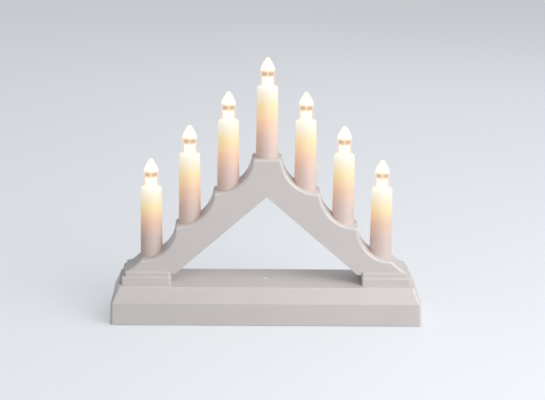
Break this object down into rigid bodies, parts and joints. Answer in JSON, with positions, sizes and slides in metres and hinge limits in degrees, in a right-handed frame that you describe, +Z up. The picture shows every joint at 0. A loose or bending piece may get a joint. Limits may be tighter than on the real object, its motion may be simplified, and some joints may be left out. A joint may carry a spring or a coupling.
{
  "type": "candle arch",
  "caption": "Battery-lit candle arch: white moulded stair-shaped arch on a stepped plinth, with lit tubes under clear flame caps.",
  "frame": {"origin": "centre of the footprint at floor level, under the rubber feet", "axes": "+X along the arch's width, +Z up; the front faces -Y, the switch is in the rear wall"},
  "size_m": [0.22, 0.056, 0.187],
  "materials": {
    "white_shell": "satin moulded",
    "inner_plastic": "plain moulded",
    "base_plastic": "fine matt",
    "tube_plastic": "translucent satin",
    "flame_plastic": "clear",
    "led_epoxy": "clear, lit warm white",
    "screw_steel": "zinc plated",
    "contact_steel": "nickel plated",
    "foot_rubber": "matt",
    "cell_sleeve": "plain sleeve",
    "wire_jacket": "soft insulation",
    "board_laminate": "solder resist",
    "black_plastic": "moulded",
    "knob_plastic": "ribbed grip",
    "resistor_coat": "lacquer"
  },
  "bodies": {
    "root": {"plinth_shell": "white_shell", "arch_shell": "white_shell", "arch_back_cover": "white_shell", "arch_cover_screws": "screw_steel", "arch_clamp_left": "inner_plastic", "arch_clamp_right": "inner_plastic", "clamp_screws": "screw_steel", "base_plate": "base_plastic", "base_screws": "screw_steel", "rubber_feet": "foot_rubber", "door_pin": "screw_steel", "battery_1": "cell_sleeve", "battery_2": "cell_sleeve", "bridge_contact": "contact_steel", "positive_contact": "contact_steel", "negative_contact": "contact_steel", "battery_wires": "wire_jacket", "circuit_board": "board_laminate", "board_screws": "screw_steel", "timer_chip": "black_plastic", "timer_crystal": "contact_steel", "resistors": "resistor_coat", "switch_housing": "contact_steel", "arch_wiring_left": "wire_jacket", "arch_wiring_right": "wire_jacket", "led_leads": "contact_steel", "candle_tube_1": "tube_plastic", "flame_cap_1": "flame_plastic", "led_holder_1": "inner_plastic", "led_1": "led_epoxy", "candle_tube_2": "tube_plastic", "flame_cap_2": "flame_plastic", "led_holder_2": "inner_plastic", "led_2": "led_epoxy", "candle_tube_3": "tube_plastic", "flame_cap_3": "flame_plastic", "led_holder_3": "inner_plastic", "led_3": "led_epoxy", "candle_tube_4": "tube_plastic", "flame_cap_4": "flame_plastic", "led_holder_4": "inner_plastic", "led_4": "led_epoxy", "candle_tube_5": "tube_plastic", "flame_cap_5": "flame_plastic", "led_holder_5": "inner_plastic", "led_5": "led_epoxy", "candle_tube_6": "tube_plastic", "flame_cap_6": "flame_plastic", "led_holder_6": "inner_plastic", "led_6": "led_epoxy", "candle_tube_7": "tube_plastic", "flame_cap_7": "flame_plastic", "led_holder_7": "inner_plastic", "led_7": "led_epoxy"},
    "battery_door": {"battery_door": "base_plastic"},
    "switch": {"switch_slider": "black_plastic", "switch_knob": "knob_plastic"}
  },
  "joints": [
    {"name": "battery_door_hinge", "type": "hinge", "parent": "root", "child": "battery_door", "pos_m": [-0.03165, 0, 0.0032], "axis": [0, 1, 0], "range_deg": [0, 90]},
    {"name": "switch_slide", "type": "slide", "parent": "root", "child": "switch", "axis": [1, 0, 0], "range_m": [0, 0.004]}
  ]
}
